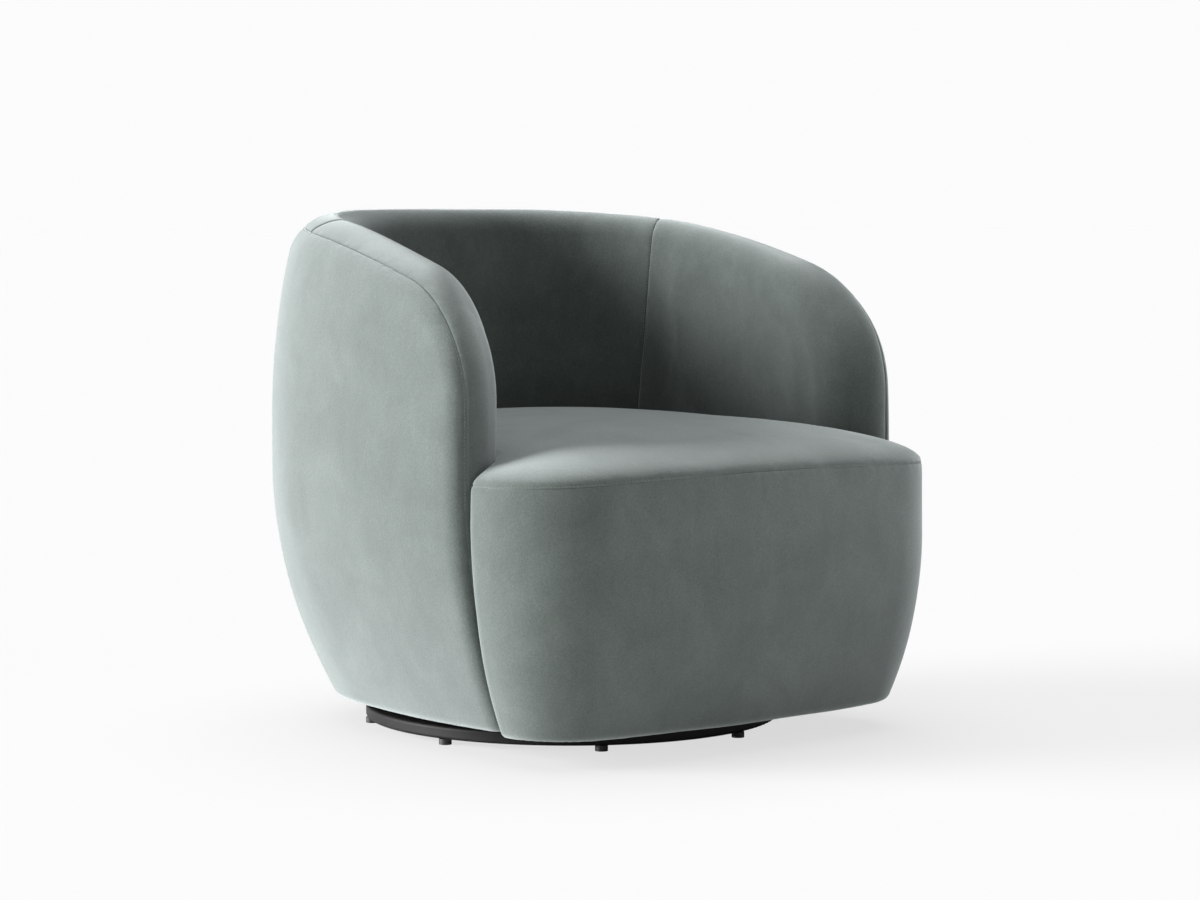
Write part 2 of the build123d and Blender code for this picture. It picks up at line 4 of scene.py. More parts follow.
import bpy
import numpy as np
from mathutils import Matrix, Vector


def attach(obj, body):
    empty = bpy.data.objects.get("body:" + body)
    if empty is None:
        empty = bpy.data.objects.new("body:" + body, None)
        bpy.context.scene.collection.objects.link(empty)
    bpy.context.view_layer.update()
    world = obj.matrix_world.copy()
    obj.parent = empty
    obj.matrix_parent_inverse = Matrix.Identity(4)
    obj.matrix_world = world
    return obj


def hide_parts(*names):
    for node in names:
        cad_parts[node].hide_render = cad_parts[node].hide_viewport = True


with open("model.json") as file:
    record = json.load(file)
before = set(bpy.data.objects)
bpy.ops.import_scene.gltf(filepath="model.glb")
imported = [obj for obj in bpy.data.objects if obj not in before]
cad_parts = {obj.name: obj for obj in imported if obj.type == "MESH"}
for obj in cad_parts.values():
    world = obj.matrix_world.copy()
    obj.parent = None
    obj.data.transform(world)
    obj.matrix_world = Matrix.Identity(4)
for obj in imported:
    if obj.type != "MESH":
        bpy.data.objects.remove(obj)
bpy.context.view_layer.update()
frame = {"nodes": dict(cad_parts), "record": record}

# Overall sizes in millimetres, after the solids; the hem hangs a little below the body
HALF_WIDTH, HALF_DEPTH, HEIGHT = 415.0, 436.0, 746.0
BODY_BOTTOM, HEM, DECK, WIDEST, SEAM = 40.0, 38.0, 345.0, 376.0, 391.0
GAP = 0.35  # between covers that touch

# Arms and back. Rounds in plan: side, back, back corner, front, front corner
BULGE, ROUNDS = -84.0, (1500.0, 593.0, 362.7, 900.0, 345.0)
NOSE_REACH = 90.0  # the arms' curve would close this far past the apron
SIDE_DRAW, BACK_DRAW, TOP_DRAW, TOP_POWER = 88.0, 101.0, 44.0, 2.6  # how far the wall draws in
LOW_SLOPE, TOP_SLOPE = 0.524, 0.309  # how steeply it does so at the bottom and the rim
SEAT_WALL, WALL_GROWTH, LEAST_WALL = 102.0, 0.0621, 70.0  # thickness at the seat, growth with height, least
COVER = 13.0  # how far the rim seam lies in from the wall
RIM_ROUND, INNER_ROUND, HEM_ROUND = 56.0, 34.0, 9.0

# Turned arm fronts: the outer corner, how steeply the face turns back inwards, and how far in it does
ARM_FRONT, ARM_TURN, TURN_REACH = -294.0, 0.61, 200.0
TURN_DRAW = 57.0  # how far the corner draws in at the bottom
TURN_END, TURN_FADE = 100.0, 300.0  # the turn begins at this y and is full this far in front of it

# Rim line: level part, then one long arc down to the shoulder arc of the arm front
LEVEL_DEPTH, SHOULDER_R, SHOULDER_Z = 29.0, 197.0, 481.0
LEVEL_Y, SHOULDER_Y = HALF_DEPTH - LEVEL_DEPTH, ARM_FRONT + SHOULDER_R
FALL_R = ((LEVEL_Y - SHOULDER_Y) ** 2 + (HEIGHT - SHOULDER_Z) ** 2 - SHOULDER_R**2) / (
    2 * (HEIGHT - SHOULDER_Z - SHOULDER_R)
)

# Inside pads: the upright seams, and the strip down the arm front
INSIDE_SEAM, SEAM_LEAN, SEAM_MIDDLE = math.radians(29.3), 0.114, 627.0
STRIP_WIDTH, STRIP_FADE, STRIP_END = 45.0, 15.0, 4.0

# Seat block
BLOCK_WIDTH, BLOCK_BACK = 390.5, 381.0
BLOCK_BULGE, BLOCK_ROUNDS = -130.0, (2100.0, 593.0, 362.7, 1900.0, 143.6)
BLOCK_WIDEST, BLOCK_DRAWN, BLOCK_DRAW, BLOCK_SLOPE = 280.0, 240.0, 48.0, 0.4
SEAT_DROOP, SEAT_CROWN, CROWN_REACH = 13.0, 54.0, 300.0
TOP_EDGE, SEAT_EDGE, APRON_EDGE = 3.0, 10.0, 8.0
APRON_REACH, APRON_TURN_IN = 14.0, 30.0  # behind the arms' front faces, and in from the apron's own face


# Shapes as fields: negative inside, close to a distance near the surface


def meeting(ax, ay, reach_a, bx, by, reach_b):
    """Point at the given distances from two centres, on the +X side."""
    dx, dy = bx - ax, by - ay
    span = np.hypot(dx, dy)
    along = (reach_a**2 - reach_b**2 + span**2) / (2 * span)
    across = np.sqrt(np.maximum(reach_a**2 - along**2, 0))
    ux, uy = dx / span, dy / span
    first = -uy * across > uy * across
    side = np.where(first, 1.0, -1.0)
    return ax + ux * along - side * uy * across, ay + uy * along + side * ux * across


def outline(x, y, width, back, front, bulge, radii):
    """Distance to a closed outline of tangent arcs: front, corners, sides, back."""
    side_r, back_r, back_corner, front_r, front_corner = radii
    x = np.abs(x)
    back_y, side_x, front_y = back - back_r, width - side_r, front + front_r
    bx, by = meeting(0.0, back_y, back_r - back_corner, side_x, bulge, side_r - back_corner)
    fx, fy = meeting(side_x, bulge, side_r - front_corner, 0.0, front_y, front_r - front_corner)

    def left_of(cx, cy, px, py):
        return (px - cx) * (y - py) - (py - cy) * (x - px) > 0

    to_side = np.hypot(x - side_x, y - bulge) - side_r
    to_back = np.hypot(x, y - back_y) - back_r
    to_front = np.hypot(x, y - front_y) - front_r
    at_back = left_of(side_x, bulge, bx, by) & ~left_of(0.0, back_y, bx, by)
    at_front = left_of(0.0, front_y, fx, fy) & ~left_of(side_x, bulge, fx, fy)
    far = np.maximum(np.maximum(to_side, to_back), to_front)
    far = np.where(at_back, np.hypot(x - bx, y - by) - back_corner, far)
    return np.where(at_front, np.hypot(x - fx, y - fy) - front_corner, far)


def rounded(a, b, radius):
    """What two shapes share, with the edge between them rounded."""
    return np.minimum(-radius, np.maximum(a, b)) + np.hypot(
        np.maximum(a + radius, 0), np.maximum(b + radius, 0)
    )


def lowness(z):
    """0 at the widest height and above, 1 at the bottom of the body."""
    return np.maximum(0, (WIDEST - z) / (WIDEST - BODY_BOTTOM))


def wall(x, y, z):
    """Outer face of the arms and back, drawn in at the bottom and a little at the top."""
    below = lowness(z)
    above = np.maximum(0, (z - WIDEST) / (HEIGHT - WIDEST))
    side_in = SIDE_DRAW * below**2 + TOP_DRAW * above**TOP_POWER
    back_in = BACK_DRAW * below**2 + TOP_DRAW * above**TOP_POWER
    slope = LOW_SLOPE * below + TOP_SLOPE * above ** (TOP_POWER - 1)
    taken = (side_in, back_in, back_in, 0, side_in)
    radii = tuple(radius - inset for radius, inset in zip(ROUNDS, taken))
    front = -HALF_DEPTH - NOSE_REACH
    far = outline(x, y, HALF_WIDTH - side_in, HALF_DEPTH - back_in, front, BULGE, radii)
    return far / np.sqrt(1 + slope**2)


def room(x, y, z):
    """The space between the arms: negative in it, positive in the wall."""
    far = outline(x, y, HALF_WIDTH, HALF_DEPTH, -HALF_DEPTH - NOSE_REACH, BULGE, ROUNDS)
    return np.maximum(far + SEAT_WALL + WALL_GROWTH * (z - SEAM), wall(x, y, z) + LEAST_WALL)


def front_turn(x, z):
    """How far the turned face of an arm lies behind its outer corner."""
    return ARM_TURN * np.clip(HALF_WIDTH - TURN_DRAW * lowness(z) ** 2 - np.abs(x), 0, TURN_REACH)


def rim(x, y, z):
    """Under the rim line: level at the back, falling to the arms, upright at their turned fronts."""
    y = y - front_turn(x, z) * np.clip((TURN_END - y) / TURN_FADE, 0, 1)
    fall_z = HEIGHT - FALL_R
    fall = np.where(y > LEVEL_Y, z - HEIGHT, np.hypot(y - LEVEL_Y, z - fall_z) - FALL_R)
    along = (SHOULDER_Y - LEVEL_Y) * (z - SHOULDER_Z) - (SHOULDER_Z - fall_z) * (y - SHOULDER_Y)
    in_turn = (z > SHOULDER_Z) & (along > 0)
    turn = np.hypot(y - SHOULDER_Y, z - SHOULDER_Z) - SHOULDER_R
    return np.where(in_turn, turn, np.maximum(fall, ARM_FRONT - y))


def outer_body(x, y, z):
    """Arms and back as one solid body, rounded at the rim and the arm fronts."""
    return rounded(wall(x, y, z), rim(x, y, z), RIM_ROUND)


def barrel(x, y, z):
    """Arms and back in one sweep around the sitting space."""
    return rounded(outer_body(x, y, z), -room(x, y, z), INNER_ROUND)


def upright_seam(x, y, z):
    """Positive behind the two upright seams inside the barrel."""
    lean = SEAM_LEAN * (z - SEAM_MIDDLE)
    return y * math.cos(INSIDE_SEAM) - np.abs(x) * math.sin(INSIDE_SEAM) + lean


def outside_shape(x, y, z):
    """The arms and back from outside, with the hem turned under."""
    return rounded(outer_body(x, y, z), HEM - z, HEM_ROUND)


def front_seam(x):
    """Height of the seam between seat and apron, a little lower at the sides."""
    return SEAM - SEAT_DROOP * (x / HALF_WIDTH) ** 2


def block_side(x, y, z):
    """Upright faces of the seat block, drawn in at the bottom."""
    below = np.maximum(0, (BLOCK_WIDEST - z) / BLOCK_DRAWN)
    inset = BLOCK_DRAW * below**2
    taken = (0, 0, inset, 0, inset)
    radii = tuple(radius - less for radius, less in zip(BLOCK_ROUNDS, taken))
    far = outline(x, y, BLOCK_WIDTH - inset, BLOCK_BACK - inset, -HALF_DEPTH + inset, BLOCK_BULGE, radii)
    return far / np.sqrt(1 + (BLOCK_SLOPE * below) ** 2)


def block(x, y, z):
    """The seat block with its crowned top."""
    far = outline(x, y, BLOCK_WIDTH, BLOCK_BACK, -HALF_DEPTH, BLOCK_BULGE, BLOCK_ROUNDS)
    share = np.clip(-far / CROWN_REACH, 0.004, 1)  # above 0, so that the slope stays finite
    arc = np.sqrt(1 - (1 - share) ** 2)
    slope = SEAT_CROWN / CROWN_REACH * (1 - share) / arc
    top = (z - front_seam(x) - SEAT_CROWN * arc) / np.sqrt(1 + slope**2)
    return rounded(block_side(x, y, z), top, TOP_EDGE)


def seat_shape(x, y, z):
    """The seat, in what the arms and back leave free."""
    return rounded(block(x, y, z), GAP - barrel(x, y, z), SEAT_EDGE)


def apron_shape(x, y, z):
    """The apron, up against the arm fronts and hardly past their outer corners."""
    behind = (y - ARM_FRONT - front_turn(x, z)) / math.hypot(1, ARM_TURN)
    limit = np.maximum(GAP - outer_body(x, y, z), behind - APRON_REACH)
    return rounded(rounded(block_side(x, y, z), limit, APRON_EDGE), HEM - z, APRON_EDGE)


def pad_part(x, y, z):
    """Positive on the inside pads: down to the deck, and at the arm fronts down to the hem."""
    at_front = np.clip((rim(x, y, z) + STRIP_WIDTH) / STRIP_FADE, 0, 1)
    return z - DECK - GAP + (DECK - HEM - STRIP_END) * at_front


# Meshes from fields


def slopes(shape, p, step=0.4):
    """Gradient of a field at points."""
    columns = []
    for axis in range(3):
        a, b = p.copy(), p.copy()
        a[:, axis] += step
        b[:, axis] -= step
        columns.append((shape(*a.T) - shape(*b.T)) / (2 * step))
    return np.stack(columns, axis=1)


def settle(shape, p, limit, rounds=3):
    """Move points onto the surface of a field."""
    for _ in range(rounds):
        g = slopes(shape, p)
        pull = shape(*p.T) / np.maximum((g * g).sum(axis=1), 0.2)
        p = p - np.clip(pull, -limit, limit)[:, None] * g
    return p


def meet(shape, line, p, rounds=4):
    """Move points onto the surface of a field and, along it, to where a second field is zero."""
    for _ in range(rounds):
        a, b = slopes(shape, p), slopes(line, p)
        fa, fb = shape(*p.T), line(*p.T)
        aa, bb, ab = (a * a).sum(axis=1), (b * b).sum(axis=1), (a * b).sum(axis=1)
        both = np.maximum(aa * bb - ab * ab, 0.05)
        move = ((fa * bb - fb * ab) / both)[:, None] * a + ((fb * aa - fa * ab) / both)[:, None] * b
        p = p - np.clip(move, -3, 3)
    return p


def skin(shape, low, high, step):
    """Triangles where a field crosses zero, from one point in each grid cell that the surface passes."""
    axes = [np.arange(lo, hi + step, step) for lo, hi in zip(low, high)]
    f = shape(axes[0][:, None, None], axes[1][None, :, None], axes[2][None, None, :])
    inside = f < 0
    cells = tuple(n - 1 for n in f.shape)
    count = np.zeros(cells, dtype=np.int8)
    for i, j, k in np.ndindex(2, 2, 2):
        count += inside[i : i + cells[0], j : j + cells[1], k : k + cells[2]]
    base = np.argwhere((count > 0) & (count < 8))
    index = np.full(cells, -1)
    index[tuple(base.T)] = np.arange(len(base))
    total, hits, quads = np.zeros((len(base), 3)), np.zeros(len(base)), []
    for a in range(3):
        b, c = (a + 1) % 3, (a + 2) % 3
        for ob, oc in np.ndindex(2, 2):
            start = base.copy()
            start[:, b] += ob
            start[:, c] += oc
            end = start.copy()
            end[:, a] += 1
            fa, fb = f[tuple(start.T)], f[tuple(end.T)]
            crossed = (fa < 0) != (fb < 0)
            point = start.astype(float)
            point[:, a] += fa / np.where(crossed, fa - fb, 1)
            total[crossed] += point[crossed]
            hits += crossed
        here = [slice(1, -1)] * 3
        here[a] = slice(0, -1)
        there = list(here)
        there[a] = slice(1, None)
        edge = np.argwhere(inside[tuple(here)] != inside[tuple(there)]) + 1
        edge[:, a] -= 1
        ring = []
        for ob, oc in ((-1, -1), (0, -1), (0, 0), (-1, 0)):
            cell = edge.copy()
            cell[:, b] += ob
            cell[:, c] += oc
            ring.append(index[tuple(cell.T)])
        quad = np.stack(ring, axis=1)
        flip = ~inside[tuple(edge.T)]
        quad[flip] = quad[flip][:, ::-1]
        quads.append(quad)
    quads = np.concatenate(quads)
    p = total / hits[:, None] * step + np.array(low)
    one, two = quads.ravel(), np.roll(quads, -1, axis=1).ravel()
    ends, others = np.concatenate([one, two]), np.concatenate([two, one])
    share = np.maximum(np.bincount(ends, minlength=len(p)), 1).astype(float)
    for _ in range(3):
        mean = np.stack([np.bincount(ends, p[others, n], len(p)) for n in range(3)], axis=1)
        p = settle(shape, 0.4 * p + 0.6 * (mean / share[:, None]), step / 2, 2)
    across = np.linalg.norm(p[quads[:, 0]] - p[quads[:, 2]], axis=1)
    other = np.linalg.norm(p[quads[:, 1]] - p[quads[:, 3]], axis=1)
    turned = np.where((across <= other)[:, None], quads, np.roll(quads, -1, axis=1))
    return p, np.concatenate([turned[:, [0, 1, 2]], turned[:, [0, 2, 3]]])


def cut(shape, p, tris, line, snap):
    """Add a row of points where a second field crosses zero, so that a seam or fold runs along edges."""
    p, value = p.copy(), line(*p.T)
    close = np.abs(value) < snap
    p[close] = meet(shape, line, p[close])
    sign = np.where(close, 0, np.sign(value)).astype(int)
    ends = np.stack([tris, np.roll(tris, -1, axis=1)], axis=2)
    crossed = sign[ends[:, :, 0]] * sign[ends[:, :, 1]] < 0
    key = ends.min(axis=2) * len(p) + ends.max(axis=2)
    found, rank = np.unique(key[crossed], return_inverse=True)
    middle = np.full(crossed.shape, -1)
    middle[crossed] = len(p) + rank
    low, high = found // len(p), found % len(p)
    share = (value[low] / (value[low] - value[high]))[:, None]
    fresh = meet(shape, line, p[low] + share * (p[high] - p[low]))
    number = crossed.sum(axis=1)
    kept = [tris[number == 0]]
    for k in range(3):
        a, b, c = (tris[:, (k + n) % 3] for n in range(3))
        ab, bc, ca = (middle[:, (k + n) % 3] for n in range(3))
        pick = (number == 1) & (bc >= 0)
        kept += [np.stack(t, axis=1)[pick] for t in ((a, b, bc), (a, bc, c))]
        pick = (number == 2) & (bc < 0)
        kept += [np.stack(t, axis=1)[pick] for t in ((a, ab, ca), (ab, b, c), (ab, c, ca))]
    return np.concatenate([p, fresh]), np.concatenate(kept)


SEAM_SNAP, ROW_SNAP = 1.2, 0.5  # points this close to a seam, or to a row beside it, are moved onto it


def trim(shape, p, tris, lines):
    """Keep the part of a surface where all lines are positive, with rows of points beside each seam."""
    for line, rows in lines:
        for row in rows:
            snap = SEAM_SNAP if row == 0 else ROW_SNAP
            p, tris = cut(shape, p, tris, lambda x, y, z: line(x, y, z) - row, snap)
        middle = p[tris].mean(axis=1)
        tris = tris[line(*middle.T) > 0]
        used, tris = np.unique(tris, return_inverse=True)
        p, tris = p[used], tris.reshape(-1, 3)
    return p, tris


def border(tris, count):
    """Edges with a face on one side only."""
    edges = np.concatenate([tris[:, [0, 1]], tris[:, [1, 2]], tris[:, [2, 0]]])
    key, back = edges[:, 0] * count + edges[:, 1], edges[:, 1] * count + edges[:, 0]
    return edges[~np.isin(key, back)]


def ripple(p, length, seed):
    """Soft unevenness from a few crossing waves, about -1 to 1."""
    dice = np.random.default_rng(seed)
    total = np.zeros(len(p))
    for _ in range(7):
        way = dice.normal(size=3)
        way *= 2 * math.pi / (length * dice.uniform(0.7, 1.5) * np.linalg.norm(way))
        total += np.sin(p @ way + dice.uniform(0, 2 * math.pi))
    return total / 3.2


def make_mesh(name, p, faces):
    """Smooth object from points in millimetres."""
    mesh = bpy.data.meshes.new(name)
    mesh.vertices.add(len(p))
    mesh.vertices.foreach_set("co", (p / 1000).ravel())
    mesh.loops.add(faces.size)
    mesh.loops.foreach_set("vertex_index", faces.ravel())
    mesh.polygons.add(len(faces))
    mesh.polygons.foreach_set("loop_start", np.arange(0, faces.size, faces.shape[1]))
    mesh.polygons.foreach_set("use_smooth", np.ones(len(faces), dtype=bool))
    mesh.update(calc_edges=True)
    mesh.validate()
    piece = bpy.data.objects.new(name, mesh)
    bpy.context.scene.collection.objects.link(piece)
    return piece


# Materials


def new_material(name):
    """Empty material with one shader, its node tree and that shader."""
    made = bpy.data.materials.new(name)
    made.use_nodes = True
    tree = made.node_tree
    tree.nodes.clear()
    shader = tree.nodes.new("ShaderNodeBsdfPrincipled")
    out = tree.nodes.new("ShaderNodeOutputMaterial")
    tree.links.new(shader.outputs["BSDF"], out.inputs["Surface"])
    return made, tree, shader


def node(tree, kind, inputs=(), **settings):
    """A node with its settings, and its inputs set or linked."""
    made = tree.nodes.new(kind)
    for key, value in settings.items():
        setattr(made, key, value)
    for key, value in dict(inputs).items():
        if isinstance(value, bpy.types.NodeSocket):
            tree.links.new(value, made.inputs[key])
        else:
            made.inputs[key].default_value = value
    return made


def place(tree, stretch=(1, 1, 1)):
    """Place on the object, with patterns stretched along its axes."""
    coords = node(tree, "ShaderNodeTexCoord").outputs["Object"]
    return node(tree, "ShaderNodeMapping", {"Vector": coords, "Scale": stretch}).outputs["Vector"]


def noise(tree, vector, scale, detail=3.0, rough=0.5, twist=0.0):
    """Noise pattern, mostly from 0.3 to 0.7."""
    pattern = {"Scale": scale, "Detail": detail, "Roughness": rough, "Distortion": twist}
    return node(tree, "ShaderNodeTexNoise", {"Vector": vector, **pattern}).outputs["Fac"]


def ramp(tree, value, stops):
    """Colour that follows a value."""
    made = node(tree, "ShaderNodeValToRGB", {"Fac": value})
    line = made.color_ramp
    while len(line.elements) < len(stops):
        line.elements.new(0.5)
    for element, (at, colour) in zip(line.elements, stops):
        element.position = at
        element.color = (*colour, 1)
    return made.outputs["Color"]


def blend(tree, one, two, share):
    """Two values added in shares."""
    first = node(tree, "ShaderNodeMath", {0: one, 1: share}, operation="MULTIPLY").outputs[0]
    second = node(tree, "ShaderNodeMath", {0: two, 1: 1 - share}, operation="MULTIPLY").outputs[0]
    return node(tree, "ShaderNodeMath", {0: first, 1: second}, operation="ADD").outputs[0]


def spread(tree, value, low, high):
    """A noise value brought to a range."""
    spans = {"From Min": 0.3, "From Max": 0.7, "To Min": low, "To Max": high}
    return node(tree, "ShaderNodeMapRange", {"Value": value, **spans}).outputs["Result"]


def bump(tree, shader, height, strength, distance):
    """Relief from a value, with its distance in metres."""
    made = node(tree, "ShaderNodeBump", {"Height": height, "Strength": strength, "Distance": distance})
    tree.links.new(made.outputs["Normal"], shader.inputs["Normal"])


def velvet():
    """Short-pile velvet: dark and green face on, pale and cool where the pile is seen edge on."""
    made, tree, shader = new_material("velvet")
    plain = place(tree)
    patches = noise(tree, plain, 9, 4, 0.6, 0.8)
    brushed = noise(tree, place(tree, (1, 1, 0.45)), 38, 4, 0.6, 0.9)
    pile = noise(tree, plain, 430, 3, 0.7)
    mixed = blend(tree, blend(tree, patches, brushed, 0.6), pile, 0.5)
    tones = ((0.3, (0.026, 0.034, 0.029)), (0.5, (0.047, 0.059, 0.051)), (0.7, (0.078, 0.093, 0.083)))
    tree.links.new(ramp(tree, mixed, tones), shader.inputs["Base Color"])
    tree.links.new(spread(tree, brushed, 0.72, 0.92), shader.inputs["Roughness"])
    shader.inputs["Specular IOR Level"].default_value = 0.12
    tree.links.new(spread(tree, mixed, 0.52, 0.66), shader.inputs["Sheen Weight"])
    shader.inputs["Sheen Roughness"].default_value = 0.6
    shader.inputs["Sheen Tint"].default_value = (0.89, 0.965, 0.975, 1)
    bump(tree, shader, blend(tree, pile, brushed, 0.7), 0.5, 0.0009)
    return made


def worked(
    name,
    dark,
    light,
    scale,
    stretch=(1, 1, 1),
    rough=(0.4, 0.6),
    metal=0.0,
    relief=0.0004,
    twist=0.0,
    shine=0.5,
):
    """A surface with grain, flecks or brushing in two tones, and roughness and relief to match."""
    made, tree, shader = new_material(name)
    vector = place(tree, stretch)
    coarse, fine = noise(tree, vector, scale, 4, 0.6, twist), noise(tree, vector, scale * 9, 2, 0.6)
    grain = blend(tree, coarse, fine, 0.65)
    tree.links.new(ramp(tree, grain, ((0.32, dark), (0.68, light))), shader.inputs["Base Color"])
    tree.links.new(spread(tree, grain, *rough), shader.inputs["Roughness"])
    shader.inputs["Metallic"].default_value = metal
    shader.inputs["Specular IOR Level"].default_value = shine
    bump(tree, shader, grain, 0.3, relief)
    return made


def plywood():
    """Raw plywood: long grain on the faces, thin light and dark layers on the edges."""
    made, tree, shader = new_material("plywood")
    grain = noise(tree, place(tree, (3, 46, 46)), 4, 5, 0.6, 0.8)
    bands = {"Vector": place(tree), "Scale": 105.0, "Distortion": 0.4}
    layers = node(tree, "ShaderNodeTexWave", bands, bands_direction="Z").outputs["Fac"]
    mixed = blend(tree, grain, layers, 0.7)
    tones = ((0.2, (0.36, 0.23, 0.12)), (0.5, (0.56, 0.4, 0.24)), (0.8, (0.7, 0.54, 0.35)))
    tree.links.new(ramp(tree, mixed, tones), shader.inputs["Base Color"])
    tree.links.new(spread(tree, grain, 0.55, 0.75), shader.inputs["Roughness"])
    bump(tree, shader, mixed, 0.25, 0.0005)
    return made


finishes = {
    "velvet": velvet(),
    "plywood": plywood(),
    "foam": worked("foam", (0.62, 0.54, 0.32), (0.84, 0.78, 0.56), 320, rough=(0.8, 0.95), relief=0.0015),
    "felt": worked(
        "felt", (0.2, 0.2, 0.21), (0.42, 0.42, 0.43), 240, (1, 1, 0.4), (0.85, 0.98), relief=0.001
    ),
    "dust_cloth": worked("dust_cloth", (0.008, 0.008, 0.009), (0.035, 0.035, 0.036), 900, rough=(0.8, 0.95)),
    "black_paint": worked(
        "black_paint",
        (0.004, 0.004, 0.004),
        (0.011, 0.011, 0.011),
        70,
        rough=(0.5, 0.66),
        relief=0.0002,
        shine=0.2,
    ),
    "black_plastic": worked(
        "black_plastic", (0.012, 0.012, 0.012), (0.028, 0.028, 0.029), 500, rough=(0.45, 0.62)
    ),
    "nylon": worked("nylon", (0.66, 0.65, 0.6), (0.8, 0.79, 0.75), 120, rough=(0.4, 0.55)),
    "zinc_steel": worked(
        "zinc_steel",
        (0.42, 0.42, 0.44),
        (0.68, 0.68, 0.7),
        40,
        stretch=(1, 9, 9),
        rough=(0.25, 0.42),
        metal=1.0,
        relief=0.0001,
    ),
    "ball_steel": worked(
        "ball_steel",
        (0.62, 0.62, 0.64),
        (0.78, 0.78, 0.8),
        300,
        rough=(0.07, 0.14),
        metal=1.0,
        relief=0.00002,
    ),
    "spring_steel": worked(
        "spring_steel",
        (0.1, 0.1, 0.11),
        (0.26, 0.26, 0.27),
        160,
        rough=(0.3, 0.5),
        metal=1.0,
        relief=0.0001,
    ),
    "hardwood": worked(
        "hardwood", (0.3, 0.18, 0.09), (0.56, 0.38, 0.22), 14, (6, 6, 0.5), (0.5, 0.7), twist=0.8
    ),
    "fibreboard": worked("fibreboard", (0.2, 0.12, 0.06), (0.4, 0.27, 0.16), 90, rough=(0.6, 0.85)),
}

slots = {part["node"]: part["material_slot"] for part in frame["record"]["subparts"]}
for name, part in frame["nodes"].items():
    for holder in part.material_slots:
        holder.material = finishes[slots[name]]


# Velvet pieces

SEAM_ROWS = (0, 1.7, 4.2, 8.0)  # rows of points beside a seam; stitches lie on the second
ON_ROW, STITCH_PITCH, SHORTEST_ROW = 0.06, 5.0, 40  # shorter rows get no stitches
HELD_WIDTH = 5  # the cloth is held this far on each side of a seam
CREASE, PULL = (1.2, 2.2), (0.8, 10)  # depth and reach of the narrow and the wide part of a seam's groove
PUCKER, PUCKER_REACH, PUCKER_LENGTH, PUCKER_SEED = 0.3, 9, 17, 11
UNEVEN, UNEVEN_LENGTH = 0.7, 180
CLOTH_FRAMES, CLOTH_STIFF, CLOTH_BEND, CLOTH_PRESSURE = 20, 60.0, 30.0, 1.5
SMOOTHING, MOST_MOVE = 12, 5.0  # rounds of smoothing, and the limit of what the cloth moves


def groove(shape, line, p):
    """How far a surface is pulled in at a seam, from the distance along it."""
    a, b = slopes(shape, p), slopes(line, p)
    a /= np.maximum(np.linalg.norm(a, axis=1), 0.1)[:, None]
    along = np.linalg.norm(b - (a * b).sum(axis=1)[:, None] * a, axis=1)
    far = np.abs(line(*p.T)) / np.maximum(along, 0.02)
    pucker = ripple(p, PUCKER_LENGTH, PUCKER_SEED) * np.exp(-((far / PUCKER_REACH) ** 2))
    crease, pull = (depth * np.exp(-((far / reach) ** 2)) for depth, reach in (CREASE, PULL))
    return crease + pull + PUCKER * pucker


def press_out(p, tris, held):
    """How far a cover moves as cloth that is held at its seams and pressed out by its padding."""
    sheet = make_mesh("sheet", p, tris)
    sheet.vertex_groups.new(name="held").add(np.flatnonzero(held).tolist(), 1.0, "REPLACE")
    cloth = sheet.modifiers.new("cloth", "CLOTH")
    cloth.point_cache.frame_end = CLOTH_FRAMES
    cloth.settings.quality = 4
    cloth.settings.mass = 0.4
    cloth.settings.tension_stiffness = cloth.settings.compression_stiffness = CLOTH_STIFF
    cloth.settings.bending_stiffness = CLOTH_BEND
    cloth.settings.use_pressure = True
    cloth.settings.uniform_pressure_force = CLOTH_PRESSURE
    cloth.settings.effector_weights.gravity = 0.0
    cloth.settings.vertex_group_mass = "held"
    for moment in range(1, CLOTH_FRAMES + 1):
        bpy.context.scene.frame_set(moment)
    worn = sheet.evaluated_get(bpy.context.evaluated_depsgraph_get()).data
    moved = np.empty(len(p) * 3)
    worn.vertices.foreach_get("co", moved)
    moved = moved.reshape(-1, 3) * 1000 - p
    bpy.data.objects.remove(sheet)
    bpy.context.scene.frame_set(1)
    ends, others = tris.ravel(), np.roll(tris, -1, axis=1).ravel()
    share = np.maximum(np.bincount(ends, minlength=len(p)), 1)[:, None]
    for _ in range(SMOOTHING):
        mean = np.stack([np.bincount(ends, moved[others, n], len(p)) for n in range(3)], axis=1) / share
        moved = np.where(held[:, None], 0, mean)
    far = np.linalg.norm(moved, axis=1)
    return moved * (np.minimum(far, MOST_MOVE) / np.maximum(far, 1e-6))[:, None]


def runs_along(tris, on):
    """Rows of edges whose ends are all marked, each as points in order."""
    edges = np.concatenate([tris[:, [0, 1]], tris[:, [1, 2]], tris[:, [2, 0]]])
    edges = np.unique(np.sort(edges[on[edges].all(axis=1)], axis=1), axis=0)
    beside = {}
    for one, two in edges.tolist():
        beside.setdefault(one, []).append(two)
        beside.setdefault(two, []).append(one)
    runs = []
    while beside:
        run = [next((k for k in beside if len(beside[k]) == 1), next(iter(beside)))]
        while True:
            onward = [n for n in beside.pop(run[-1]) if n in beside]
            if not onward:
                break
            run.append(onward[0])
        runs.append(run)
    return runs


stitches = []


def at_lengths(reach, values, at):
    """Values between the points of a row, at lengths along it."""
    return np.stack([np.interp(at, reach, values[:, n]) for n in range(3)], axis=1)


